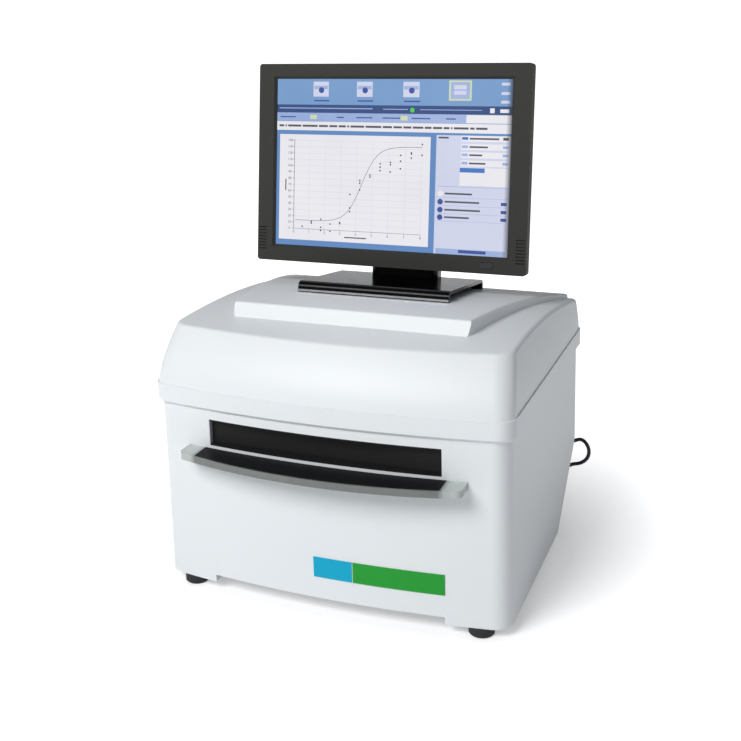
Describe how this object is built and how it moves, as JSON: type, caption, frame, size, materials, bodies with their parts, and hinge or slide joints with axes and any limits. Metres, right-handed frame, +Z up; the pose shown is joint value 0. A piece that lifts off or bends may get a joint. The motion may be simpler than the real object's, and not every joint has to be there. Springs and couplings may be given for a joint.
{
  "type": "microplate reader",
  "caption": "Bench microplate reader: white casing with a plate slot and shelf in front, plate transport and optics inside, and a tilting monitor on top.",
  "frame": {"origin": "on the bench, midway across the width and midway between the front of the shelf and the rear of the casing", "axes": "+Z up, +X to the right as seen from the front, +Y to the rear; the slot faces -Y"},
  "size_m": [0.4403, 0.4429, 0.5995],
  "materials": {
    "casing": "fine satin moulding, cool white",
    "black_plastic": "fine matt moulding",
    "gloss_black": "gloss",
    "clear_plastic": "clear acrylic, polished edges",
    "smoked_plastic": "smoked, gloss",
    "rubber": "matt",
    "steel": "brushed",
    "sheet_metal": "satin paint",
    "aluminium": "bead blasted",
    "trim": "bright",
    "screen": "anti-glare",
    "blue_print": "printed film",
    "green_print": "printed film",
    "board": "solder resist",
    "motor": "semi-gloss"
  },
  "bodies": {
    "reader": {"chassis_deck": "sheet_metal", "connector_panel": "sheet_metal", "data_sockets": "steel", "deck_pillars": "aluminium", "detector": "black_plastic", "drive_belt": "rubber", "drive_motor": "motor", "emission_monochromator": "black_plastic", "excitation_monochromator": "black_plastic", "fan_frame": "black_plastic", "feet": "rubber", "filter_motor": "motor", "flash_lamp": "aluminium", "floor_pan": "sheet_metal", "foot_screws": "steel", "hinge_pin": "steel", "label_blue": "blue_print", "label_green": "green_print", "lead_coil": "rubber", "lead_gland": "rubber", "lead_plug": "black_plastic", "lead_tube": "rubber", "light_guides": "black_plastic", "lower_housing": "casing", "main_board": "board", "mains_inlet": "black_plastic", "measuring_head": "black_plastic", "middle_band": "casing", "optics_deck": "sheet_metal", "optics_posts": "aluminium", "power_supply": "sheet_metal", "rail_blocks": "aluminium", "rails": "steel", "rear_panel": "sheet_metal", "shelf": "clear_plastic", "shelf_insert": "smoked_plastic", "shutter_guides": "black_plastic", "slot_frame": "casing", "stand_neck": "gloss_black", "stand_plate": "gloss_black", "stand_trim": "trim", "top_cover": "casing"},
    "power_rocker": {"power_rocker": "black_plastic"},
    "fan_rotor": {"fan_rotor": "black_plastic"},
    "shutter": {"shutter": "black_plastic"},
    "carriage": {"carriage": "aluminium", "cross_rods": "steel", "traverse_motor": "motor"},
    "lead_screw": {"lead_screw": "steel"},
    "plate_carrier": {"plate_carrier": "black_plastic"},
    "drive_pulley": {"drive_pulley": "aluminium"},
    "idler_pulley": {"idler_pulley": "aluminium"},
    "filter_wheel": {"filter_wheel": "aluminium"},
    "excitation_grating": {"excitation_grating": "aluminium"},
    "emission_grating": {"emission_grating": "aluminium"},
    "monitor": {"monitor_bezel": "black_plastic", "monitor_back": "black_plastic", "lcd_panel": "screen", "tilt_bracket": "steel"},
    "monitor_button": {"monitor_button": "gloss_black"}
  },
  "joints": [
    {"name": "carriage_slide", "type": "slide", "parent": "reader", "child": "carriage", "axis": [0, -1, 0], "range_m": [0, 0.242]},
    {"name": "traverse_slide", "type": "slide", "parent": "carriage", "child": "plate_carrier", "axis": [1, 0, 0], "range_m": [-0.06, 0.06]},
    {"name": "screw_turn", "type": "hinge", "parent": "carriage", "child": "lead_screw", "pos_m": [0, 0.1295, 0.1885], "axis": [1, 0, 0], "range_deg": [-1800, 1800]},
    {"name": "shutter_drop", "type": "slide", "parent": "reader", "child": "shutter", "axis": [0, 0, -1], "range_m": [0, 0.0726]},
    {"name": "drive_turn", "type": "hinge", "parent": "reader", "child": "drive_pulley", "pos_m": [0.15, 0.1625, 0.1575], "axis": [0, 0, 1], "range_deg": [0, 1800]},
    {"name": "idler_turn", "type": "hinge", "parent": "reader", "child": "idler_pulley", "pos_m": [0.15, -0.1365, 0.1575], "axis": [0, 0, 1], "range_deg": [0, 1800]},
    {"name": "fan_turn", "type": "hinge", "parent": "reader", "child": "fan_rotor", "pos_m": [0.06, 0.182, 0.152], "axis": [0, 1, 0], "continuous": true},
    {"name": "wheel_turn", "type": "hinge", "parent": "reader", "child": "filter_wheel", "pos_m": [0.019, 0.033, 0.26], "axis": [0, 1, 0], "continuous": true},
    {"name": "excitation_turn", "type": "hinge", "parent": "reader", "child": "excitation_grating", "pos_m": [-0.098, 0.0305, 0.25], "axis": [0, 0, 1], "range_deg": [-40, 40]},
    {"name": "emission_turn", "type": "hinge", "parent": "reader", "child": "emission_grating", "pos_m": [0.098, 0.0305, 0.25], "axis": [0, 0, 1], "range_deg": [-40, 40]},
    {"name": "rocker_tip", "type": "hinge", "parent": "reader", "child": "power_rocker", "pos_m": [-0.14, 0.1895, 0.174], "axis": [1, 0, 0], "range_deg": [-16, 0]},
    {"name": "monitor_tilt", "type": "hinge", "parent": "reader", "child": "monitor", "pos_m": [0, 0.14371, 0.44359], "axis": [1, 0, 0], "range_deg": [-12, 5]},
    {"name": "button_press", "type": "slide", "parent": "monitor", "child": "monitor_button", "axis": [0, 0.9912, -0.1323], "range_m": [0, 0.0012], "stiffness_N_per_m": 400}
  ],
  "couplings": [
    {"joint": "screw_turn", "follows": "traverse_slide", "rad_per_m": 523},
    {"joint": "shutter_drop", "follows": "carriage_slide", "ratio": 0.3},
    {"joint": "drive_turn", "follows": "carriage_slide", "rad_per_m": 125},
    {"joint": "idler_turn", "follows": "carriage_slide", "rad_per_m": 125}
  ]
}
